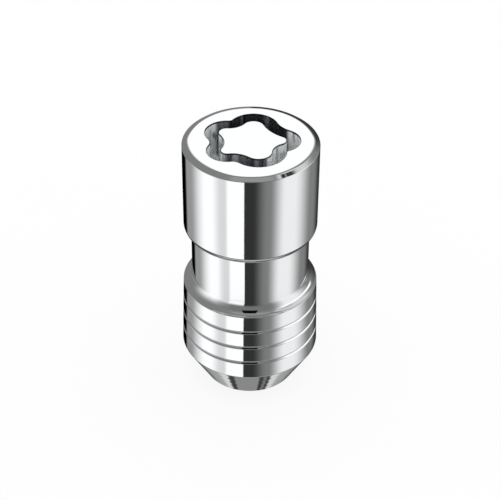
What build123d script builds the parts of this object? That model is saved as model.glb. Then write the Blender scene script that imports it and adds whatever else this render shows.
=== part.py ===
# Locking wheel nut: one forged and turned steel piece that stands on its foot. Sizes are in millimetres.
# The origin is the centre of the foot's bottom plane. +Z runs up the axis to the key face, -Y is the front.
from math import atan2, cos, hypot, radians, sin, sqrt, tan
import os

from build123d import *

os.makedirs("parts", exist_ok=True)

# Blind bore for the stud: tapping size, drilled from the foot and countersunk
bore_radius = 5.2
drill_point_angle = 118.0
end_wall = 3.0
countersink_width = 0.6
countersink_included_angle = 90.0

# Cone seat that centres the wheel, from the flat ring round the bore's mouth up to the body
foot_ring_width = 0.48
foot_edge_break = 0.15
seat_included_angle = 60.0

# Body that fills the wheel's nut pocket; it flares a little from the shoulder down to the seat
body_length = 10.1
body_radius = 9.25
shoulder_radius = 8.96

# Turned rings round the body
ring_count = 3
ring_pitch = 2.53
first_ring_drop = 2.56
ring_width = 0.4
ring_depth = 0.2

# Neck, whose lower end curves out to the shoulder's edge and stops short of level
neck_length = 8.45
neck_radius = 7.8
shoulder_turn_angle = 77.0

# Head, with a quarter round from its side in to the neck and a chamfer at the key face
head_length = 13.3
head_radius = 8.8
top_chamfer_width = 0.64
top_chamfer_height = 0.52

# Key groove: an irregular five-lobed channel in the key face
key_groove_width = 1.77
key_groove_depth = 5.0

# Centre line of the key groove, anticlockwise from above, starting with the lobe at the back.
# Each row is a lobe's distance from the axis, its direction in degrees, its radius, and the radius
# of the valley between it and the next lobe.
key_groove_lobes = [
    (3.12, 84.0, 2.29, 1.54),
    (3.56, 150.8, 1.91, 2.39),
    (3.85, 218.9, 1.69, 2.21),
    (2.78, 289.6, 2.65, 1.28),
    (3.63, 359.5, 1.78, 4.51),
]

# Levels and radii that follow from the sizes above
foot_radius = bore_radius + countersink_width + foot_ring_width
seat_edge_height = (body_radius - foot_radius) / tan(radians(seat_included_angle / 2))
shoulder_height = seat_edge_height + body_length
head_underside_height = shoulder_height + neck_length
key_face_height = head_underside_height + head_length
key_groove_floor_height = key_face_height - key_groove_depth


def on_circle(centre, radius, angle):
    """The point of a circle in a plane, at an angle in radians."""
    return (centre[0] + radius * cos(angle), centre[1] + radius * sin(angle))


def direction(start, end):
    """The angle in radians of the line from one point to another."""
    return atan2(end[1] - start[1], end[0] - start[0])


def arc(centre, radius, first, last, clockwise=False):
    """An arc of a circle from one angle in radians to another, anticlockwise unless told otherwise."""
    turn = (last - first) % radians(360) - (radians(360) if clockwise else 0)
    points = [on_circle(centre, radius, first + turn * share) for share in (0, 0.5, 1)]
    return Edge.make_three_point_arc(*points)


def valley_centre(start, start_reach, end, end_reach):
    """The centre at the two given distances from two lobes' centres, on the side away from the axis."""
    gap = hypot(end[0] - start[0], end[1] - start[1])
    along = (gap**2 + start_reach**2 - end_reach**2) / (2 * gap)
    across = sqrt(start_reach**2 - along**2)
    heading = direction(start, end)
    foot = on_circle(start, along, heading)
    return on_circle(foot, across, heading - radians(90))


def lobed_outline(offset):
    """The closed line of tangent arcs that lies the given offset outside the groove's centre line."""
    lobes = [
        (on_circle((0, 0), reach, radians(angle)), radius)
        for reach, angle, radius, _ in key_groove_lobes
    ]
    following_lobes = lobes[1:] + lobes[:1]
    valley_radii = [valley for _, _, _, valley in key_groove_lobes]
    valleys = [
        valley_centre(start, start_radius + valley, end, end_radius + valley)
        for (start, start_radius), (end, end_radius), valley in zip(lobes, following_lobes, valley_radii)
    ]
    edges = []
    for index, (lobe, radius) in enumerate(lobes):
        before, after = valleys[index - 1], valleys[index]
        following = following_lobes[index][0]
        edges.append(arc(lobe, radius + offset, direction(lobe, before), direction(lobe, after)))
        valley_ends = direction(after, lobe), direction(after, following)
        edges.append(arc(after, valley_radii[index] - offset, *valley_ends, clockwise=True))
    return Wire(edges)


def key_groove():
    """The channel between the outer wall and the island, from the key face down to its flat floor."""
    outer = Face(lobed_outline(key_groove_width / 2))
    island = Face(lobed_outline(-key_groove_width / 2))
    channel = extrude(outer - island, amount=key_groove_depth, dir=(0, 0, 1))
    return Pos(0, 0, key_groove_floor_height) * channel


def turned(*lines):
    """The solid that lines closing in radius and height sweep round the axis."""
    outline = Wire([edge for line in lines for edge in line.edges()])
    return revolve(Plane.XZ * Face(outline), Axis.Z)


def outer_form():
    """The turned outside, from the foot to the key face."""
    shoulder_turn = radians(shoulder_turn_angle)
    shoulder_curve = (shoulder_radius - neck_radius) / (1 - cos(shoulder_turn))
    shoulder_top = shoulder_height + shoulder_curve * sin(shoulder_turn)
    shoulder_centre = (neck_radius + shoulder_curve, shoulder_top)
    underside_curve = head_radius - neck_radius
    head_side_bottom = head_underside_height + underside_curve
    underside_centre = (neck_radius, head_side_bottom)

    lower_side = Polyline(
        (0, shoulder_top),
        (0, 0),
        (foot_radius, 0),
        (body_radius, seat_edge_height),
        (shoulder_radius, shoulder_height),
    )
    level_end, upright_end = radians(180) + shoulder_turn, radians(180)
    shoulder = arc(shoulder_centre, shoulder_curve, level_end, upright_end, clockwise=True)
    neck = Line((neck_radius, shoulder_top), (neck_radius, head_underside_height))
    underside = arc(underside_centre, underside_curve, radians(-90), 0)
    upper_side = Polyline(
        (head_radius, head_side_bottom),
        (head_radius, key_face_height - top_chamfer_height),
        (head_radius - top_chamfer_width, key_face_height),
        (0, key_face_height),
        (0, shoulder_top),
    )
    form = turned(lower_side, shoulder, neck, underside, upper_side)
    foot_edge = form.edges().filter_by(GeomType.CIRCLE).sort_by(Axis.Z)[0]
    return fillet(foot_edge, foot_edge_break)


def ring(height):
    """One V-shaped turned ring at a height on the body's flare, with its mouth open past the body."""
    drop_share = (shoulder_height - height) / body_length
    radius = shoulder_radius + (body_radius - shoulder_radius) * drop_share
    mouth_radius = radius + ring_depth
    root = (radius - ring_depth, height)
    mouth_bottom = (mouth_radius, height - ring_width)
    mouth_top = (mouth_radius, height + ring_width)
    return turned(Polyline(root, mouth_bottom, mouth_top, root))


def rings():
    """The rings, evenly spaced down the body from the first one below the shoulder."""
    first_height = shoulder_height - first_ring_drop
    return [ring(first_height - index * ring_pitch) for index in range(ring_count)]


def blind_bore():
    """The stud's bore: countersunk mouth, straight wall at tapping size and drill point."""
    mouth_radius = bore_radius + countersink_width
    countersink_height = countersink_width / tan(radians(countersink_included_angle / 2))
    point_height = key_groove_floor_height - end_wall
    wall_top = point_height - bore_radius / tan(radians(drill_point_angle / 2))
    side = Polyline(
        (0, 0),
        (mouth_radius, 0),
        (bore_radius, countersink_height),
        (bore_radius, wall_top),
        (0, point_height),
        (0, 0),
    )
    return turned(side)


lock_nut = outer_form() - rings() - blind_bore() - key_groove()
export_step(lock_nut, "parts/lock_nut.step")
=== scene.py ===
# %% [markdown]
# # A chrome locking wheel nut
# The nut was forged, turned on a lathe, tapped for its stud and then chrome plated, so it is one piece
# of metal. This lesson builds it the same way: one outline is turned round the axis, a lobed groove is let
# into its end, a threaded bore goes in from below, and the shells are merged into one closed mesh.
# Chrome has hardly any colour of its own, so half of the work is the studio that it mirrors.

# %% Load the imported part
from math import atan2, ceil, cos, degrees, hypot, pi, radians, sin, sqrt, tan

import bmesh
import bpy
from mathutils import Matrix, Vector


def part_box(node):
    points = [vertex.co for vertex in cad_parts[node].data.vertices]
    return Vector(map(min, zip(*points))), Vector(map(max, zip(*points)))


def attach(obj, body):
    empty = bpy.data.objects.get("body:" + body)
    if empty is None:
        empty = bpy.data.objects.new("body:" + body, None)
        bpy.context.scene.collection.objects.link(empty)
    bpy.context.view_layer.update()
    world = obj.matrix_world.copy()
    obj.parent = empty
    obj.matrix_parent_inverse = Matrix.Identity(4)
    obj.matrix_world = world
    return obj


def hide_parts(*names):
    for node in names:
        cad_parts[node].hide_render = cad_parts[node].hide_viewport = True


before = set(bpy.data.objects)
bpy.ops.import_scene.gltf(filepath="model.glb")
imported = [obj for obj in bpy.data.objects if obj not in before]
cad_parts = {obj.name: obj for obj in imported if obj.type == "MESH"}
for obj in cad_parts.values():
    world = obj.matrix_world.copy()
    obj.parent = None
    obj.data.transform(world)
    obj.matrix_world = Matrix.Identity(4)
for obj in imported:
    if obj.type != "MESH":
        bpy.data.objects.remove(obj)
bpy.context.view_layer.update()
NODE = "lock_nut"
BODY = "root"
node_low, node_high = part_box(NODE)
print("CAD box of", NODE, [round(v, 5) for v in (*node_low, *node_high)])

# %% [markdown]
# ## Sizes
# A turned part is drawn as radii and heights, so every size here is one of those, in millimetres.
# The two that bound the whole part, its height and its widest radius, are read from the imported part's
# box.
# The rest are the same driving sizes as the part has, so that the mesh stays on the solid that it stands
# for.

# %% Name the sizes
MM = 0.001

key_face_height = node_high.z / MM
body_radius = node_high.x / MM

bore_radius = 5.2
drill_point_angle = 118.0
end_wall = 3.0
countersink_width = 0.6
foot_ring_width = 0.48
foot_edge_break = 0.15
seat_half_angle = 30.0
body_length = 10.1
shoulder_radius = 8.96
ring_count = 3
ring_pitch = 2.53
first_ring_drop = 2.56
ring_width = 0.4
ring_depth = 0.2
neck_radius = 7.8
shoulder_turn_angle = 77.0
head_length = 13.3
head_radius = 8.8
top_chamfer_width = 0.64
top_chamfer_height = 0.52
key_groove_width = 1.77
key_groove_depth = 5.0

mouth_radius = bore_radius + countersink_width
foot_radius = mouth_radius + foot_ring_width
seat_edge_height = (body_radius - foot_radius) / tan(radians(seat_half_angle))
shoulder_height = seat_edge_height + body_length
print(f"seat edge at {seat_edge_height:.3f} mm, shoulder at {shoulder_height:.3f} mm")

# %% [markdown]
# ## Drawing with a moving point
# A lathe outline is a chain of straight runs and arcs. In bmesh a single vertex can draw it: extruding the
# vertex leaves an edge behind it, and spinning the vertex about a centre leaves an arc.
# Both helpers return the vertex at the new end, so an outline reads like a list of tool moves.

# %% Helpers that draw a line and an arc
AROUND_Y = Vector((0, -1, 0))
AROUND_Z = Vector((0, 0, 1))


def point_at(radius, height):
    """A point of the turned outline, in the plane of X and Z."""
    return Vector((radius * MM, 0, height * MM))


def line_to(bm, pen, target):
    """Draws a straight edge from the pen's vertex to a point and returns the new vertex."""
    moved = bmesh.ops.extrude_vert_indiv(bm, verts=[pen])["verts"]
    bmesh.ops.translate(bm, verts=moved, vec=target - pen.co)
    return moved[0]


def arc_to(bm, pen, centre, axis, turn, steps):
    """Draws an arc of so many degrees about a centre and returns the vertex at its end."""
    swept = bmesh.ops.spin(bm, geom=[pen], cent=centre, axis=axis, angle=radians(turn), steps=steps)
    return next(item for item in swept["geom_last"] if isinstance(item, bmesh.types.BMVert))


print("10 mm out and 5 mm up is, in metres,", point_at(10, 5)[:])

# %% [markdown]
# ## The turned outside
# The real blank is turned in one chucking, from the foot to the key face, and its outline shows every cut:
# the cone seat, three V-shaped rings, the concave shoulder, the neck and the quarter round under the head.
# The outline is drawn once and spun through a full turn. Spin is chosen over a Screw modifier because it
# leaves real faces that the later steps can merge with. The pen starts at the mouth of the bore, on the
# foot's flat ring, and the outer edge of that ring is rounded, so that it can't scratch the wheel's seat.

# %% Start at the foot
FOOT_EDGE_STEPS = 12
outside = bmesh.new()


def draw_foot_edge(bm, pen):
    """Rounds the foot's outer edge between the flat ring and the cone."""
    turn = 90 - seat_half_angle
    setback = foot_edge_break * tan(radians(turn / 2))
    pen = line_to(bm, pen, point_at(foot_radius - setback, 0))
    centre = point_at(foot_radius - setback, foot_edge_break)
    return arc_to(bm, pen, centre, AROUND_Y, turn, FOOT_EDGE_STEPS)


pen = bmesh.ops.create_vert(outside, co=point_at(mouth_radius, 0))["vert"][0]
pen = draw_foot_edge(outside, pen)
print(f"foot edge ends at radius {pen.co.x / MM:.3f} mm")

# %% [markdown]
# The cone seat bears the whole pull of the stud, and it keeps the marks of a coarse feed under the plate:
# waves of two thousandths of a millimetre. They are far too small to see as a shape, but they make steps in
# the edges of a reflection. A sine added along the cone draws them, and short runs keep it smooth.

# %% Draw the cone seat
SEAT_WAVES = 4
SEAT_WAVE_DEPTH = 0.002
SEAT_STEPS = 48


def draw_seat(bm, pen):
    """Turns the cone seat, with the shallow waves that a coarse feed leaves."""
    start, end = pen.co.copy(), point_at(body_radius, seat_edge_height)
    outward = Vector((cos(radians(seat_half_angle)), 0, -sin(radians(seat_half_angle))))
    for step in range(1, SEAT_STEPS + 1):
        share = step / SEAT_STEPS
        wave = SEAT_WAVE_DEPTH * sin(2 * pi * SEAT_WAVES * share)
        pen = line_to(bm, pen, start.lerp(end, share) + outward * wave * MM)
    return pen


pen = draw_seat(outside, pen)
print(f"seat ends at radius {pen.co.x / MM:.3f} mm, height {pen.co.z / MM:.3f} mm")

# %% [markdown]
# A pointed tool cuts the three rings, and the polishing wheel then rounds each ring's upper lip. That lip
# matters, because it throws the thin dark line that draws the ring. The body flares a little towards the
# seat, so each ring first looks up how wide the body is at its height.

# %% Cut the rings
RING_LIP = 0.27
RING_LIP_STEPS = 8


def body_radius_at(height):
    """The radius of the body's flare at a height between the seat's edge and the shoulder."""
    share = (height - seat_edge_height) / body_length
    return body_radius + (shoulder_radius - body_radius) * share


def draw_rings(bm, pen):
    """Cuts the V-shaped rings into the flare, from the lowest up, each with a rounded upper lip."""
    flank = atan2(ring_depth, ring_width / 2)
    for index in reversed(range(ring_count)):
        height = shoulder_height - first_ring_drop - index * ring_pitch
        radius = body_radius_at(height)
        pen = line_to(bm, pen, point_at(radius, height - ring_width / 2))
        pen = line_to(bm, pen, point_at(radius - ring_depth, height))
        lip_height = height + ring_width / 2 + RING_LIP * tan(flank / 2)
        lip_start = point_at(radius - RING_LIP * (1 - cos(flank)), lip_height - RING_LIP * sin(flank))
        pen = line_to(bm, pen, lip_start)
        lip_centre = point_at(radius - RING_LIP, lip_height)
        pen = arc_to(bm, pen, lip_centre, AROUND_Y, degrees(flank), RING_LIP_STEPS)
    return pen


pen = draw_rings(outside, pen)
pen = line_to(outside, pen, point_at(shoulder_radius, shoulder_height))
print(f"body ends at radius {pen.co.x / MM:.3f} mm, height {pen.co.z / MM:.3f} mm")

# %% [markdown]
# The shoulder is one concave arc that stops 13 degrees short of level at its outer edge. Above the neck, a
# quarter round leads out to the head. At the top, the polishing wheel has rounded the rim of the key face:
# a tight lip beside the chamfer, and then a wide crown that runs out into the level face. The lip and the
# crown are tangent arcs, so no step shows in the chrome.

# %% Draw the shoulder and the head
SHOULDER_STEPS = 32
UNDERSIDE_STEPS = 24
RIM_STEPS = 8
KEY_FACE_LIP = 0.5
KEY_FACE_CROWN = 2.5
KEY_FACE_CROWN_TURN = 14


def draw_shoulder(bm, pen):
    """Sweeps the concave shoulder from its outer edge up into the neck."""
    curve = (shoulder_radius - neck_radius) / (1 - cos(radians(shoulder_turn_angle)))
    rise = curve * sin(radians(shoulder_turn_angle))
    centre = point_at(neck_radius + curve, shoulder_height + rise)
    return arc_to(bm, pen, centre, AROUND_Y, -shoulder_turn_angle, SHOULDER_STEPS)


def draw_head(bm, pen):
    """Draws the quarter round, the head's side, its chamfer and the polished-round rim of the key face."""
    underside_height = key_face_height - head_length
    curve = head_radius - neck_radius
    pen = line_to(bm, pen, point_at(neck_radius, underside_height))
    quarter_centre = point_at(neck_radius, underside_height + curve)
    pen = arc_to(bm, pen, quarter_centre, AROUND_Y, 90, UNDERSIDE_STEPS)
    pen = line_to(bm, pen, point_at(head_radius, key_face_height - top_chamfer_height))
    slope = atan2(top_chamfer_height, top_chamfer_width)
    crown_turn = radians(KEY_FACE_CROWN_TURN)
    across = (KEY_FACE_CROWN - KEY_FACE_LIP) * sin(crown_turn)
    drop = KEY_FACE_CROWN - (KEY_FACE_CROWN - KEY_FACE_LIP) * cos(crown_turn)
    sharp_rim_radius = head_radius - top_chamfer_width
    level_radius = sharp_rim_radius - across + (drop * cos(slope) - KEY_FACE_LIP) / sin(slope)
    lip_centre = point_at(level_radius + across, key_face_height - drop)
    pen = line_to(bm, pen, lip_centre + Vector((sin(slope), 0, cos(slope))) * KEY_FACE_LIP * MM)
    pen = arc_to(bm, pen, lip_centre, AROUND_Y, degrees(slope) - KEY_FACE_CROWN_TURN, RIM_STEPS)
    crown_centre = point_at(level_radius, key_face_height - KEY_FACE_CROWN)
    return arc_to(bm, pen, crown_centre, AROUND_Y, KEY_FACE_CROWN_TURN, RIM_STEPS)


pen = draw_shoulder(outside, pen)
pen = draw_head(outside, pen)
print("outline vertices:", len(outside.verts))

# %% [markdown]
# No real edge is perfectly sharp. After the spin, every edge that turns by a clear angle gets a break of a
# twentieth of a millimetre, which catches the thin lights that make the edges read.

# %% Spin the outline and break its sharp edges
SEGMENTS = 192
EDGE_BREAK = 0.05
EDGE_BREAK_SEGMENTS = 3
CRISP_ANGLE = radians(15)


def full_turn(bm):
    """Spins everything drawn so far once round the nut's axis and closes the turn."""
    outline = bm.verts[:] + bm.edges[:]
    bmesh.ops.spin(bm, geom=outline, axis=AROUND_Z, angle=2 * pi, steps=SEGMENTS, use_merge=True)


def crisp_edges(bm):
    """The edges whose two faces meet at a clear angle."""
    shared = [edge for edge in bm.edges if len(edge.link_faces) == 2]
    return [edge for edge in shared if edge.calc_face_angle() > CRISP_ANGLE]


full_turn(outside)
bmesh.ops.bevel(outside, geom=crisp_edges(outside), offset=EDGE_BREAK * MM, offset_type="OFFSET",
                affect="EDGES", segments=EDGE_BREAK_SEGMENTS, profile=0.5, material=-1,
                clamp_overlap=True)
print("turned outside faces:", len(outside.faces))

# %% [markdown]
# ## The lobed key groove
# Only the matching key has the raised ring that fits this groove, which is what locks the wheel.
# Its centre line is a chain of ten tangent arcs: five lobes that bulge outwards and five valleys between.
# Each valley's centre is where two circles cross, so the arcs meet without a kink whatever their radii are.
# The groove's section, with broken lips and a rounded floor, is drawn once across the channel. Each arc is
# then a spin about its own centre, and the section that one spin leaves is the start of the next.

# %% Work out the arcs of the centre line
# Each row has a lobe's distance from the axis, its direction in degrees anticlockwise from the right, its
# radius, and the radius of the valley that follows it.
LOBES = [
    (3.12, 84.0, 2.29, 1.54),
    (3.56, 150.8, 1.91, 2.39),
    (3.85, 218.9, 1.69, 2.21),
    (2.78, 289.6, 2.65, 1.28),
    (3.63, 359.5, 1.78, 4.51),
]


def on_circle(centre, radius, angle):
    """The point of a circle in a level plane, at an angle in degrees."""
    return centre + radius * Vector((cos(radians(angle)), sin(radians(angle)), 0))


def heading(start, end):
    """The direction from one point to another in a level plane, in degrees."""
    return degrees(atan2(end.y - start.y, end.x - start.x))


def valley_centre(start, start_reach, end, end_reach):
    """The point at two given distances from two lobes' centres, on the side away from the axis."""
    gap = (end - start).length
    along = (gap**2 + start_reach**2 - end_reach**2) / (2 * gap)
    across = sqrt(start_reach**2 - along**2)
    direction = heading(start, end)
    return on_circle(on_circle(start, along, direction), across, direction - 90)


def centre_line():
    """The arcs as (centre, radius, first angle, turn), in millimetres and degrees."""
    lobes = [(on_circle(Vector(), reach, angle), radius) for reach, angle, radius, _ in LOBES]
    valleys = []
    for index, (lobe, radius) in enumerate(lobes):
        following, following_radius = lobes[(index + 1) % len(lobes)]
        valley = LOBES[index][3]
        reach, following_reach = radius + valley, following_radius + valley
        valleys.append(valley_centre(lobe, reach, following, following_reach))
    arcs = []
    for index, (lobe, radius) in enumerate(lobes):
        before, after = valleys[index - 1], valleys[index]
        following = lobes[(index + 1) % len(lobes)][0]
        first = heading(lobe, before)
        arcs.append((lobe, radius, first, (heading(lobe, after) - first) % 360))
        first = heading(after, lobe)
        arcs.append((after, LOBES[index][3], first, (heading(after, following) - first) % 360 - 360))
    return arcs


ARCS = centre_line()
print("turns of the ten arcs:", [round(turn) for _, _, _, turn in ARCS])

# %% Sweep the section of the groove along the arcs
SWEEP_STEP = 0.16
FEWEST_STEPS = 4
LIP_RADIUS = 0.07
FLOOR_RADIUS = 0.25
QUARTER_ROUND = (0, 22.5, 45, 67.5, 90)
MERGE_DISTANCE = 0.001
groove = bmesh.new()


def groove_section():
    """The section from the outer lip across the floor to the island's lip, as (offset, height)."""
    half = key_groove_width / 2
    floor = key_face_height - key_groove_depth
    wall = []
    for angle in QUARTER_ROUND:
        reach = LIP_RADIUS * (1 - sin(radians(angle)))
        wall.append((half + reach, key_face_height - LIP_RADIUS * (1 - cos(radians(angle)))))
    for angle in QUARTER_ROUND:
        reach = FLOOR_RADIUS * (1 - cos(radians(angle)))
        wall.append((half - reach, floor + FLOOR_RADIUS * (1 - sin(radians(angle)))))
    return wall + [(-offset, height) for offset, height in reversed(wall)]


def draw_section(bm):
    """Draws the section across the channel where the first arc starts."""
    centre, radius, first, _ = ARCS[0]
    places = []
    for offset, height in groove_section():
        place = on_circle(centre, radius + offset, first)
        places.append(Vector((place.x, place.y, height)) * MM)
    pen = bmesh.ops.create_vert(bm, co=places[0])["vert"][0]
    for place in places[1:]:
        pen = line_to(bm, pen, place)


draw_section(groove)
piece = groove.verts[:] + groove.edges[:]
for centre, radius, _, turn in ARCS:
    steps = max(FEWEST_STEPS, ceil(radius * radians(abs(turn)) / SWEEP_STEP))
    piece = bmesh.ops.spin(groove, geom=piece, cent=centre * MM, axis=AROUND_Z, angle=radians(turn),
                           steps=steps)["geom_last"]
bmesh.ops.remove_doubles(groove, verts=groove.verts[:], dist=MERGE_DISTANCE * MM)
print("groove section points:", len(groove_section()), "faces:", len(groove.faces))

# %% [markdown]
# ## The tapped bore
# A tap cuts a 60-degree V of 1.5 mm pitch outwards from the drilled wall. One pitch of that section, spun
# once round with a lift of one pitch, gives one turn of a true helix. Copies stacked a pitch apart share
# their edges with it, which is much faster than one long spin, because every step of a spin goes over the
# whole mesh again. The stack starts below the foot and ends above the thread, and its depth fades at both
# ends as a real thread runs out. Whatever lies past an end is pressed onto that end's plane, where merging
# makes it one clean circle.

# %% Sweep the thread
THREAD_PITCH = 1.5
THREAD_MAJOR_RADIUS = 6.0
THREAD_TOP = 23.0
THREAD_LEAD_IN = 1.2
THREAD_RUN_OUT = 2.2
CREST_FLAT = THREAD_PITCH / 4
ROOT_FLAT = THREAD_PITCH / 8
TURNS_BELOW_FOOT = 2
FINE_MERGE_DISTANCE = 0.0001
thread = bmesh.new()


def thread_section(bm, height):
    """Draws one pitch of the thread's section upwards from a height: crest, flank, root, flank."""
    flank = (THREAD_PITCH - CREST_FLAT - ROOT_FLAT) / 2
    pen = bmesh.ops.create_vert(bm, co=point_at(bore_radius, height))["vert"][0]
    thread_depth = THREAD_MAJOR_RADIUS - bore_radius
    corners = [(0, CREST_FLAT), (thread_depth, flank), (thread_depth, ROOT_FLAT), (0, flank)]
    level, depth = height, 0
    for next_depth, rise in corners:
        for share in (0.5, 1):
            radius = bore_radius + depth + (next_depth - depth) * share
            pen = line_to(bm, pen, point_at(radius, level + rise * share))
        level, depth = level + rise, next_depth


def smooth_step(value):
    """Eases from 0 to 1 as the value passes from 0 to 1."""
    value = min(max(value, 0), 1)
    return value * value * (3 - 2 * value)


def finish_thread(bm):
    """Fades the thread's depth at both ends, opens the countersink and presses the ends flat."""
    for vert in bm.verts:
        height = min(max(vert.co.z / MM, 0), THREAD_TOP)
        radius = hypot(vert.co.x, vert.co.y) / MM
        lead_in = smooth_step(height / THREAD_LEAD_IN)
        run_out = smooth_step((THREAD_TOP - height) / THREAD_RUN_OUT)
        cut = bore_radius + (radius - bore_radius) * lead_in * run_out
        cut = max(cut, mouth_radius - height)
        vert.co = Vector((vert.co.x * cut / radius, vert.co.y * cut / radius, height * MM))


def stack_turns(bm, turns):
    """Copies the one turn of thread upwards until there are so many."""
    first_turn = bm.verts[:] + bm.edges[:] + bm.faces[:]
    for index in range(1, turns):
        copy = bmesh.ops.duplicate(bm, geom=first_turn)["geom"]
        lifted = [item for item in copy if isinstance(item, bmesh.types.BMVert)]
        bmesh.ops.translate(bm, verts=lifted, vec=AROUND_Z * index * THREAD_PITCH * MM)


start_height = -TURNS_BELOW_FOOT * THREAD_PITCH
turns = ceil((THREAD_TOP - start_height) / THREAD_PITCH) + 1
thread_section(thread, start_height)
bmesh.ops.spin(thread, geom=thread.verts[:] + thread.edges[:], axis=AROUND_Z, angle=2 * pi,
               steps=SEGMENTS, dvec=AROUND_Z * THREAD_PITCH * MM / SEGMENTS)
stack_turns(thread, turns)
finish_thread(thread)
bmesh.ops.remove_doubles(thread, verts=thread.verts[:], dist=FINE_MERGE_DISTANCE * MM)
bmesh.ops.dissolve_degenerate(thread, edges=thread.edges[:], dist=FINE_MERGE_DISTANCE * MM)
print("thread turns:", turns, "faces:", len(thread.faces))

# %% [markdown]
# Above the thread the drill left a plain wall and a pointed end of 118 degrees. Both are one short outline
# of their own, turned in the same way, and its first ring of vertices lies on the thread's last one.

# %% Turn the blind end of the bore
blind_end = bmesh.new()
point_height = key_face_height - key_groove_depth - end_wall
wall_top = point_height - bore_radius / tan(radians(drill_point_angle / 2))
pen = bmesh.ops.create_vert(blind_end, co=point_at(bore_radius, THREAD_TOP))["vert"][0]
pen = line_to(blind_end, pen, point_at(bore_radius, wall_top))
pen = line_to(blind_end, pen, point_at(bore_radius / 2, (wall_top + point_height) / 2))
pen = line_to(blind_end, pen, point_at(0, point_height))
full_turn(blind_end)
bmesh.ops.remove_doubles(blind_end, verts=blind_end.verts[:], dist=FINE_MERGE_DISTANCE * MM)
print("blind end faces:", len(blind_end.faces))

# %% [markdown]
# ## One closed mesh
# The four shells were drawn with shared borders, so merging their doubles sews them together.
# Two flat faces are still missing: the key face between its rim and the groove's outer lip, and the top of
# the island. triangle_fill closes both from their border edges alone.
# Chrome shows every bend in a surface, so the shading needs care as well. Smooth shading lets a small face
# of a rounded edge tilt the reflection right across the large face beside it. So an edge is marked sharp
# not only past a clear angle, but also where a round begins beside a level face or one several times
# larger: both then keep true.

# %% Sew the shells together
PLATE_MATERIAL = 0
TAPPED_MATERIAL = 1
GROOVE_MATERIAL = 2
SHARP_ANGLE = radians(40)
ROUND_BEGINS = radians(1)
# The height of a level face's unit normal, and how many times the area of its neighbour a large face has
LEVEL = 0.99999
MUCH_LARGER = 4


def gather(shells):
    """Joins several bmeshes into one and merges the borders that they share."""
    joined = bmesh.new()
    for shell, material in shells:
        for face in shell.faces:
            face.material_index = material
        part = bpy.data.meshes.new("shell")
        shell.to_mesh(part)
        joined.from_mesh(part)
        bpy.data.meshes.remove(part)
        shell.free()
    bmesh.ops.remove_doubles(joined, verts=joined.verts[:], dist=MERGE_DISTANCE * MM)
    return joined


def is_sharp(edge):
    """Whether an edge is a real corner, or the start of a round beside a level or a much larger face."""
    angle = edge.calc_face_angle()
    smaller, larger = sorted(face.calc_area() for face in edge.link_faces)
    beside_level = max(abs(face.normal.z) for face in edge.link_faces) > LEVEL
    beside_flat = beside_level or larger > MUCH_LARGER * smaller
    return angle > SHARP_ANGLE or (angle > ROUND_BEGINS and beside_flat)


shells = [
    (outside, PLATE_MATERIAL),
    (groove, GROOVE_MATERIAL),
    (thread, TAPPED_MATERIAL),
    (blind_end, TAPPED_MATERIAL),
]
nut = gather(shells)
open_edges = [edge for edge in nut.edges if edge.is_boundary]
filled = bmesh.ops.triangle_fill(nut, use_beauty=True, edges=open_edges, normal=AROUND_Z)["geom"]
for face in (item for item in filled if isinstance(item, bmesh.types.BMFace)):
    face.material_index = PLATE_MATERIAL
bmesh.ops.recalc_face_normals(nut, faces=nut.faces[:])
for edge in nut.edges:
    edge.smooth = not is_sharp(edge)
still_open = sum(not edge.is_manifold for edge in nut.edges)
print("border edges filled:", len(open_edges), "edges still open:", still_open)
print("volume mm3:", round(nut.calc_volume() / MM**3, 1))

# %% [markdown]
# The object sits at the origin with its place in its mesh. It rides on the one body of the part, and the
# node of the imported model that it replaces is hidden.

# %% Make the object and hide the node that it replaces
def add_piece(bm, name):
    """Makes a smooth shaded object from a bmesh."""
    mesh = bpy.data.meshes.new(name)
    for face in bm.faces:
        face.smooth = True
    bm.to_mesh(mesh)
    bm.free()
    piece = bpy.data.objects.new(name, mesh)
    bpy.context.scene.collection.objects.link(piece)
    return piece


chrome_nut = add_piece(nut, "chrome_lock_nut")
triangles = sum(len(face.vertices) - 2 for face in chrome_nut.data.polygons)
print("triangles:", triangles)
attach(chrome_nut, BODY)
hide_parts(NODE)

# %% [markdown]
# ## Materials
# A node tree is written with one small function that adds a node, sets its values and links its inputs.
# Colours are given as sRGB hex, as a colour picker shows them, and one function turns them linear.

# %% Helpers for materials
def linear(hex_colour):
    """A colour written as sRGB hex, as linear red, green, blue and alpha."""
    channels = [int(hex_colour[start : start + 2], 16) / 255 for start in (1, 3, 5)]
    return [c / 12.92 if c <= 0.04045 else ((c + 0.055) / 1.055) ** 2.4 for c in channels] + [1]


def per_metre(size_mm):
    """The scale that makes a texture's feature this many millimetres wide on Object coordinates."""
    return 1 / (size_mm * MM)


def add_node(tree, kind, settings=None, inputs=None):
    """Adds a node with its settings. Each input gets a value, or the output socket that feeds it."""
    node = tree.nodes.new(kind)
    for name, value in (settings or {}).items():
        setattr(node, name, value)
    for name, value in (inputs or {}).items():
        if isinstance(value, bpy.types.NodeSocket):
            tree.links.new(value, node.inputs[name])
        else:
            node.inputs[name].default_value = value
    return node


def new_material(name):
    """A material with an empty node tree."""
    material = bpy.data.materials.new(name)
    material.use_nodes = True
    material.node_tree.nodes.clear()
    return material, material.node_tree


print("a texture scale for features of 0.12 mm:", round(per_metre(0.12)))

# %% [markdown]
# ### Bright chrome plate
# Decorative chrome is a micron of chromium over nickel on the polished steel. It mirrors almost everything
# with a faint blue-grey tint. What gives it away as metal and not as glass is the steel under it: turning
# marks about 0.12 mm apart that polishing left as a whisper, and a very slight waviness, both far too
# shallow to see except where they blur the edge of a reflection. The marks follow the height, because the
# tool was fed along the axis. So the texture is stretched fifty times across, which draws rings.

# %% Chrome over turned steel
TURNING_MARK_SPACING = 0.12
WAVINESS_SIZE = 3.0
RING_STRETCH = 0.02


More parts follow.
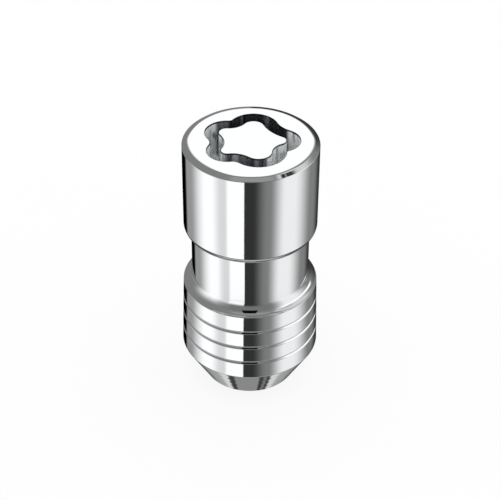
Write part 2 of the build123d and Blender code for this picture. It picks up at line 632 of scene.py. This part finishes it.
def make_chrome():
    """Chromium plate on polished, turned steel."""
    material, tree = new_material("bright_chrome_plate_on_turned_steel")
    place = add_node(tree, "ShaderNodeTexCoord").outputs["Object"]
    stretched = add_node(tree, "ShaderNodeMapping", inputs={
        "Vector": place, "Scale": (RING_STRETCH, RING_STRETCH, 1)})
    marks = add_node(tree, "ShaderNodeTexNoise", inputs={
        "Vector": stretched.outputs["Vector"], "Scale": per_metre(TURNING_MARK_SPACING), "Detail": 2})
    waves = add_node(tree, "ShaderNodeTexNoise", inputs={
        "Vector": place, "Scale": per_metre(WAVINESS_SIZE), "Detail": 1})
    mark_bump = add_node(tree, "ShaderNodeBump", inputs={
        "Height": marks.outputs["Fac"], "Strength": 0.03, "Distance": 0.02 * MM})
    wave_bump = add_node(tree, "ShaderNodeBump", inputs={
        "Height": waves.outputs["Fac"], "Strength": 0.05, "Distance": 0.05 * MM,
        "Normal": mark_bump.outputs["Normal"]})
    gloss = add_node(tree, "ShaderNodeMapRange", inputs={
        "Value": marks.outputs["Fac"], "To Min": 0.02, "To Max": 0.07})
    shader = add_node(tree, "ShaderNodeBsdfPrincipled", inputs={
        "Base Color": linear("#F2F3F4"), "Metallic": 1.0, "Roughness": gloss.outputs["Result"],
        "Normal": wave_bump.outputs["Normal"]})
    add_node(tree, "ShaderNodeOutputMaterial", inputs={"Surface": shader.outputs["BSDF"]})
    return material


chrome_nut.data.materials.append(make_chrome())
print("finish:", chrome_nut.data.materials[0].name)

# %% [markdown]
# ### Tapped steel
# Plating hardly reaches into a deep blind hole. The thread stays grey cut steel with a film of cutting oil:
# darker than the plate, rougher, with tool marks that run round the bore and a little brown in the oil.

# %% Oily steel inside the bore
TAP_MARK_STRETCH = 0.1


def make_tapped_steel():
    """Bare steel as the tap left it, with a thin film of oil."""
    material, tree = new_material("tapped_steel_with_oil_film")
    place = add_node(tree, "ShaderNodeTexCoord").outputs["Object"]
    stretched = add_node(tree, "ShaderNodeMapping", inputs={
        "Vector": place, "Scale": (TAP_MARK_STRETCH, TAP_MARK_STRETCH, 1)})
    marks = add_node(tree, "ShaderNodeTexNoise", inputs={
        "Vector": stretched.outputs["Vector"], "Scale": per_metre(TURNING_MARK_SPACING), "Detail": 3})
    film = add_node(tree, "ShaderNodeTexNoise", inputs={
        "Vector": place, "Scale": per_metre(WAVINESS_SIZE), "Detail": 3})
    colour = add_node(tree, "ShaderNodeMix", {"data_type": "RGBA"}, {
        "Factor": film.outputs["Fac"], "A": linear("#8B8A88"), "B": linear("#6E6860")})
    bump = add_node(tree, "ShaderNodeBump", inputs={
        "Height": marks.outputs["Fac"], "Strength": 0.2, "Distance": 0.02 * MM})
    gloss = add_node(tree, "ShaderNodeMapRange", inputs={
        "Value": film.outputs["Fac"], "To Min": 0.25, "To Max": 0.45})
    shader = add_node(tree, "ShaderNodeBsdfPrincipled", inputs={
        "Base Color": colour.outputs["Result"], "Metallic": 1.0, "Roughness": gloss.outputs["Result"],
        "Normal": bump.outputs["Normal"]})
    add_node(tree, "ShaderNodeOutputMaterial", inputs={"Surface": shader.outputs["BSDF"]})
    return material


chrome_nut.data.materials.append(make_tapped_steel())
print("finish:", chrome_nut.data.materials[TAPPED_MATERIAL].name)

# %% [markdown]
# ### Frosted chrome in the key groove
# The polishing wheel reaches only the first tenths of a millimetre of the groove's walls. Below that the
# plating lies on steel as the punch left it: scored from top to bottom on the walls, and even on the floor.
# Where the walls turn to pale frost and where they keep a thin dark plate over the steel is painted light
# and
# shade: the lobes at either side are pale where light and reflections fall, and the rest stay dark.
# Polished metal in a deep slot only sees more of the slot and looks black, while frost scatters the light
# evenly.
# A radial gradient gives the direction round the axis, turned so that its seam lies at the dark back, and a
# colour ramp turns the direction into the share of frost, which is painted light.

# %% Where the walls are frosted, as painted light
# Each row has a wall's first and last direction, in degrees anticlockwise from the back, and its share of
# frost, which paints the light and reflections that fall on that wall.
PAINTED_LIGHT_ON_GROOVE_WALLS = [
    ("back lobe", 0, 34, 0.12),
    ("back left valley", 34, 47, 0.3),
    ("upper left lobe", 47, 82, 1.0),
    ("left valley", 82, 96, 0.75),
    ("lower left lobe", 96, 135, 1.0),
    ("start of the front left valley", 135, 143, 0.25),
    ("front left valley", 143, 154, 0.6),
    ("front lobe", 154, 186, 0.22),
    ("front of the front lobe", 186, 192, 0.5),
    ("right of the front lobe", 192, 207, 0.25),
    ("lower right lobe", 207, 244, 1.0),
    ("right valley", 244, 251, 0.6),
    ("right lobe", 251, 298, 1.0),
    ("back right valley", 298, 360, 0.12),
]
PAINTED_LIGHT_EDGE = 2


def painted_light_round_axis(tree, place):
    """The share of frost for each direction round the nut's axis: painted light on the groove's walls."""
    turned = add_node(tree, "ShaderNodeMapping", inputs={
        "Vector": place, "Rotation": (0, 0, radians(90))})
    radial = add_node(tree, "ShaderNodeTexGradient", {"gradient_type": "RADIAL"}, {
        "Vector": turned.outputs["Vector"]})
    ramp = add_node(tree, "ShaderNodeValToRGB", inputs={"Fac": radial.outputs["Fac"]})
    stops = ramp.color_ramp.elements
    stops.remove(stops[0])
    for _, first, last, frost_and_painted_light in PAINTED_LIGHT_ON_GROOVE_WALLS:
        for direction in (first + PAINTED_LIGHT_EDGE, last - PAINTED_LIGHT_EDGE):
            stops.new(direction / 360).color = (frost_and_painted_light, frost_and_painted_light, frost_and_painted_light, 1)
    stops.remove(stops[len(stops) - 1])
    return ramp.outputs["Color"]


print("fully frosted walls:", [name for name, _, _, frost_and_painted_light in PAINTED_LIGHT_ON_GROOVE_WALLS if frost_and_painted_light == 1])

# %% Chrome, and frost painted where light falls, on the groove's walls
PUNCH_SCORE_SPACING = 0.7
PUNCH_SCORE_STRETCH = 0.25
POLISHED_DEPTH = 0.1
FROSTED_DEPTH = 0.3


def make_frosted_chrome_with_painted_light():
    """Chromium plate on punched steel: polished at the lip, and below it pale frost painted where light
    falls, or thin dark plate painted as shade.
    """
    material, tree = new_material("frosted_chrome_with_painted_light_in_groove")
    place = add_node(tree, "ShaderNodeTexCoord").outputs["Object"]
    z = add_node(tree, "ShaderNodeSeparateXYZ", inputs={"Vector": place}).outputs["Z"]
    drawn = add_node(tree, "ShaderNodeMapping", inputs={
        "Vector": place, "Scale": (1, 1, PUNCH_SCORE_STRETCH)})
    scores = add_node(tree, "ShaderNodeTexNoise", inputs={
        "Vector": drawn.outputs["Vector"], "Scale": per_metre(PUNCH_SCORE_SPACING), "Detail": 1,
        "Distortion": 0.3})
    floor_height = key_face_height - key_groove_depth
    thinnest = add_node(tree, "ShaderNodeMapRange", inputs={
        "Value": z, "From Min": floor_height * MM, "From Max": (floor_height + FLOOR_RADIUS) * MM,
        "To Min": 0.9, "To Max": 0.5})
    streaks = add_node(tree, "ShaderNodeMapRange", {"interpolation_type": "SMOOTHSTEP"}, {
        "Value": scores.outputs["Fac"], "From Min": 0.32, "From Max": 0.48,
        "To Min": thinnest.outputs["Result"], "To Max": 1})
    painted_light_on_walls = add_node(tree, "ShaderNodeMath", {"operation": "MULTIPLY"}, {
        0: painted_light_round_axis(tree, place), 1: streaks.outputs["Result"]})
    frost_and_painted_light = add_node(tree, "ShaderNodeMapRange", {"interpolation_type": "SMOOTHSTEP"}, {
        "Value": z, "From Min": (key_face_height - POLISHED_DEPTH) * MM,
        "From Max": (key_face_height - FROSTED_DEPTH) * MM, "To Max": painted_light_on_walls.outputs["Value"]})
    # The pale colour is painted light on the walls where light and reflections fall, the dark one painted
    # shade on the others.
    colour = add_node(tree, "ShaderNodeMix", {"data_type": "RGBA"}, {
        "Factor": frost_and_painted_light.outputs["Result"], "A": linear("#6C6F74"), "B": linear("#F8FBFC")})
    metal = add_node(tree, "ShaderNodeMapRange", inputs={
        "Value": frost_and_painted_light.outputs["Result"], "To Min": 1, "To Max": 0})
    gloss = add_node(tree, "ShaderNodeMapRange", inputs={
        "Value": frost_and_painted_light.outputs["Result"], "To Min": 0.05, "To Max": 0.3})
    bump = add_node(tree, "ShaderNodeBump", inputs={
        "Height": scores.outputs["Fac"], "Strength": 0.06, "Distance": 0.1 * MM})
    shader = add_node(tree, "ShaderNodeBsdfPrincipled", inputs={
        "Base Color": colour.outputs["Result"], "Metallic": metal.outputs["Result"],
        "Roughness": gloss.outputs["Result"], "Normal": bump.outputs["Normal"]})
    add_node(tree, "ShaderNodeOutputMaterial", inputs={"Surface": shader.outputs["BSDF"]})
    return material


chrome_nut.data.materials.append(make_frosted_chrome_with_painted_light())
print("finish:", chrome_nut.data.materials[GROOVE_MATERIAL].name)

# %% [markdown]
# ## The studio
# A chrome part in an all-white room would vanish, so a photographer stands softboxes and dark flags round
# it, and their reflections draw the form. Here the whole studio is drawn in the world shader, and only
# glossy rays see it. The camera and the floor see an even white, so the backdrop is white and the light on
# the floor is soft. Every softbox and flag is a card with soft edges, placed by its direction as seen from
# the nut: the azimuth is 0 towards the camera and grows to the right, the elevation is 0 at the horizon.
# A camera that looks down on an upright wall sees what lies below the horizon in it, so the cards run on
# down, and the floor is hidden from glossy rays.

# %% Name the cards of the studio
ROOM_LEVEL = 0.2
ALL_ROUND = ("azimuth", -181, -180, 180, 181)
BEHIND = ("either side", 120, 140, 180, 181)
BELOW = ("elevation", -92, -91, -70, -66)
BAR_HEIGHT = ("slanted elevation", 85, 86, 89, 90)
# Each card has a name, a brightness, and a density, which is below 1 for a net that only dims what is
# behind it. Then come its sides and its ends. Each of them has the angle that it is measured by, then in
# degrees where its first edge starts and ends its fade in, and where its second edge starts and ends its
# fade out. Either side counts the azimuth without its sign, and sideways is the angle of a direction with
# the upright plane through the camera and the axis of the nut.
CARDS = [
    ("dark table", 0.05, 1, ALL_ROUND, ("elevation", -92, -91, -39.8, -39)),
    ("lit table", 0.33, 1, BEHIND, ("elevation", -92, -91, -60, -44)),
    ("strip lights below", 0.62, 1, BEHIND, ("elevation", -92, -91, -67.5, -62)),
    ("dark ground between them", 0.05, 1, ("sideways", -10.2, -9.2, 9.2, 10.2), BELOW),
    ("light patch below", 0.24, 1, ("sideways", -7.6, -6.8, 4.6, 5.2), BELOW),
    ("grey bar beside it", 0.16, 1, ("sideways", 6.6, 7.2, 8.0, 8.6), BELOW),
    ("light card below the front", 0.45, 1,
     ("azimuth", -100, -50, 50, 100), ("elevation", -70, -66, -52, -41)),
    ("pale wall at the left", 0.29, 1,
     ("azimuth", -150, -140, -100, -90), ("elevation", -39.8, -39, -30, -20)),
    ("left softbox", 1.0, 1, ("azimuth", -121, -81, -11, -10), ("elevation", -39.8, -39, -35, 42)),
    ("seam of the left softbox", 0, 0.32,
     ("azimuth", -70, -50, -44, -37), ("elevation", -41.5, -41, 10, 42)),
    ("grey front", 0.165, 1, ("azimuth", -65, -30, 30, 45), ("elevation", -34, 0, 40, 50)),
    ("black front flag", 0.03, 1, ("azimuth", -11, -10, 4, 31), ("elevation", -42, -41, -25, 5)),
    ("right softbox", 0.84, 1,
     ("leaning azimuth", 36, 66, 82, 126), ("elevation", -39.8, -39, 40, 64)),
    ("upper right softbox", 0.62, 1, ("azimuth", 92, 108, 130, 150), ("elevation", 28, 44, 56, 74)),
    ("overhead panel", 0.28, 1, ("azimuth", -60, -40, 50, 64), ("elevation", 57, 61, 70, 80)),
    ("pale card at its right", 0.6, 1, ("azimuth", 58, 68, 98, 108), ("elevation", 36, 42, 62, 68)),
    ("dark bars before it", 0.03, 1, ("azimuth", 68, 71, 86, 97), BAR_HEIGHT),
    ("gap between the bars", 0.3, 1, ("azimuth", 75.5, 77, 77.5, 79), BAR_HEIGHT),
    ("black bar over the camera", 0, 1,
     ("azimuth", -16, -14, 14, 16), ("elevation", 26, 40, 58, 68)),
    ("black left flag", 0, 1,
     ("azimuth", -181, -180, -143, -133), ("elevation", -44, -42, -33, -29)),
    ("dark right flag", 0.035, 1, ("azimuth", 128, 156, 180, 181), ("elevation", -44, -42, 20, 32)),
    ("white card for the rings", 1.0, 1,
     ("azimuth", 58, 68, 126, 134), ("slanted elevation", 60, 64, 75, 78)),
    ("back panel", 1.0, 1, ("either side", 160, 169, 180, 181), ("elevation", 26, 29.5, 60, 72)),
]

# %% [markdown]
# The world shader works out the direction of each ray as angles. A card is four fades multiplied with each
# other, one for each edge, and each card is mixed over the view so far, so later cards stand in front.
# A lean or a slant adds a share of one angle to the other, which tilts the edges of a card.

# %% Hang the cards in the world
STUDIO_STRENGTH = 1.12
LEAN_PER_DEGREE = -0.12
SLANT_PER_DEGREE = 0.45


def hang_card(tree, angles, view, level, density, sides, ends):
    """Hangs a card with soft edges before the view so far, and returns the new view."""
    cover = density
    for measured_by, clear, full, still_full, clear_again in (sides, ends):
        for outer, inner in ((clear, full), (clear_again, still_full)):
            fade = add_node(tree, "ShaderNodeMapRange", {"interpolation_type": "SMOOTHSTEP"}, {
                "Value": angles[measured_by], "From Min": outer, "From Max": inner, "To Max": cover})
            cover = fade.outputs["Result"]
    mixed = add_node(tree, "ShaderNodeMix", {"data_type": "FLOAT"}, {
        "Factor": cover, "A": view, "B": level})
    return mixed.outputs["Result"]


def directions(tree):
    """The sockets of the angles, in degrees, that the cards are measured by."""
    ray = add_node(tree, "ShaderNodeTexCoord").outputs["Generated"]
    x, y, z = add_node(tree, "ShaderNodeSeparateXYZ", inputs={"Vector": ray}).outputs
    frontward = add_node(tree, "ShaderNodeMath", {"operation": "MULTIPLY"}, {0: y, 1: -1.0}).outputs[0]
    turn = add_node(tree, "ShaderNodeMath", {"operation": "ARCTAN2"}, {0: x, 1: frontward}).outputs[0]
    rise = add_node(tree, "ShaderNodeMath", {"operation": "ARCSINE"}, {0: z}).outputs[0]
    swing = add_node(tree, "ShaderNodeMath", {"operation": "ARCSINE"}, {0: x}).outputs[0]
    azimuth, elevation, sideways = [
        add_node(tree, "ShaderNodeMath", {"operation": "DEGREES"}, {0: angle}).outputs[0]
        for angle in (turn, rise, swing)]
    either_side = add_node(tree, "ShaderNodeMath", {"operation": "ABSOLUTE"}, {0: azimuth})
    leaning = add_node(tree, "ShaderNodeMath", {"operation": "MULTIPLY_ADD"}, {
        0: elevation, 1: LEAN_PER_DEGREE, 2: azimuth})
    slanted = add_node(tree, "ShaderNodeMath", {"operation": "MULTIPLY_ADD"}, {
        0: azimuth, 1: SLANT_PER_DEGREE, 2: elevation})
    return {
        "azimuth": azimuth,
        "either side": either_side.outputs[0],
        "leaning azimuth": leaning.outputs[0],
        "sideways": sideways,
        "elevation": elevation,
        "slanted elevation": slanted.outputs[0],
    }


def build_studio():
    """White for the camera, even light for the floor, and softboxes with flags for glossy rays."""
    world = bpy.data.worlds.new("white_room_with_flags")
    bpy.context.scene.world = world
    world.use_nodes = True
    tree = world.node_tree
    tree.nodes.clear()
    angles = directions(tree)
    view = ROOM_LEVEL
    for _, level, density, sides, ends in CARDS:
        view = hang_card(tree, angles, view, level, density, sides, ends)
    studio = add_node(tree, "ShaderNodeBackground", inputs={"Color": view, "Strength": STUDIO_STRENGTH})
    room = add_node(tree, "ShaderNodeBackground", inputs={"Color": (1, 1, 1, 1), "Strength": 1.0})
    ray = add_node(tree, "ShaderNodeLightPath").outputs
    seen = add_node(tree, "ShaderNodeMixShader", inputs={
        "Fac": ray["Is Glossy Ray"], 1: room.outputs["Background"], 2: studio.outputs["Background"]})
    add_node(tree, "ShaderNodeOutputWorld", inputs={"Surface": seen.outputs["Shader"]})


build_studio()
print("studio cards:", [name for name, *_ in CARDS])

# %% [markdown]
# ## Floor
# The floor is pale paper. It catches the soft shadow where the foot stands on it, and it lies a hair below
# the foot, so that the two flat faces don't flicker through each other. Most of what the camera gets from
# it is plain white, as a long exposure has nearly burnt out the paper, and the rest keeps the shadow.

# %% Pale paper floor
FLOOR_SIZE = 0.8
FLOOR_CELLS = 8
FLOOR_GAP = 0.02
FIBRE_CLOUD_SIZE = 20
BURNT_OUT_SHARE = 0.85


def make_paper():
    """Matte white paper with a faint unevenness, nearly burnt out to plain white."""
    material, tree = new_material("matte_white_paper")
    place = add_node(tree, "ShaderNodeTexCoord").outputs["Object"]
    fibres = add_node(tree, "ShaderNodeTexNoise", inputs={
        "Vector": place, "Scale": per_metre(FIBRE_CLOUD_SIZE), "Detail": 2})
    colour = add_node(tree, "ShaderNodeMix", {"data_type": "RGBA"}, {
        "Factor": fibres.outputs["Fac"], "A": linear("#FCFCFC"), "B": linear("#FFFFFF")})
    paper = add_node(tree, "ShaderNodeBsdfDiffuse", inputs={"Color": colour.outputs["Result"]})
    white = add_node(tree, "ShaderNodeEmission", inputs={"Color": (1, 1, 1, 1), "Strength": 1.0})
    ray = add_node(tree, "ShaderNodeLightPath").outputs
    seen = ray["Is Camera Ray"]
    for other in ("Is Glossy Ray", "Is Transmission Ray"):
        either = add_node(tree, "ShaderNodeMath", {"operation": "MAXIMUM"}, {0: seen, 1: ray[other]})
        seen = either.outputs[0]
    share = add_node(tree, "ShaderNodeMath", {"operation": "MULTIPLY"}, {0: seen, 1: BURNT_OUT_SHARE})
    surface = add_node(tree, "ShaderNodeMixShader", inputs={
        "Fac": share.outputs[0], 1: paper.outputs["BSDF"], 2: white.outputs["Emission"]})
    add_node(tree, "ShaderNodeOutputMaterial", inputs={"Surface": surface.outputs["Shader"]})
    return material


sheet = bmesh.new()
bmesh.ops.create_grid(sheet, x_segments=FLOOR_CELLS, y_segments=FLOOR_CELLS, size=FLOOR_SIZE / 2)
bmesh.ops.translate(sheet, verts=sheet.verts[:], vec=(0, 0, -FLOOR_GAP * MM))
floor = add_piece(sheet, "paper_floor")
floor.data.materials.append(make_paper())
floor.visible_glossy = False
print("floor", FLOOR_SIZE, "m square")

# %% [markdown]
# ## Camera
# The photo was taken from a little above, close enough for the nut to taper visibly towards its foot.
# The lens, distance and height were worked out from the ovals that the nut's circles make in the picture.

# %% Set the camera
IMAGE_WIDTH = 500
SENSOR_WIDTH = 36.0
NEAR_CLIP = 0.01
FAR_CLIP = 10
CAMERA_ELEVATION = 36.95
CAMERA_DISTANCE = 195.4
CAMERA_ROLL = 0.38
FOCAL_PIXELS = 1464.1
AIM_BELOW_KEY_FACE = 17.6
AIM_COLUMN = 250.24
AIM_ROW = 251.4

aim = Vector((0, 0, key_face_height - AIM_BELOW_KEY_FACE)) * MM
back = Vector((0, -cos(radians(CAMERA_ELEVATION)), sin(radians(CAMERA_ELEVATION))))
camera = bpy.data.objects.new("camera", bpy.data.cameras.new("camera"))
bpy.context.scene.collection.objects.link(camera)
camera.location = aim + back * CAMERA_DISTANCE * MM
camera.rotation_euler = (radians(90 - CAMERA_ELEVATION), 0, 0)
camera.rotation_euler.rotate_axis("Z", radians(CAMERA_ROLL))
camera.data.sensor_width = SENSOR_WIDTH
camera.data.lens = FOCAL_PIXELS * SENSOR_WIDTH / IMAGE_WIDTH
camera.data.shift_x = (IMAGE_WIDTH / 2 - AIM_COLUMN) / IMAGE_WIDTH
camera.data.shift_y = (AIM_ROW - IMAGE_WIDTH / 2) / IMAGE_WIDTH
camera.data.clip_start = NEAR_CLIP
camera.data.clip_end = FAR_CLIP
bpy.context.scene.camera = camera
bpy.context.scene.view_settings.view_transform = "Standard"
print("lens mm:", round(camera.data.lens, 2))
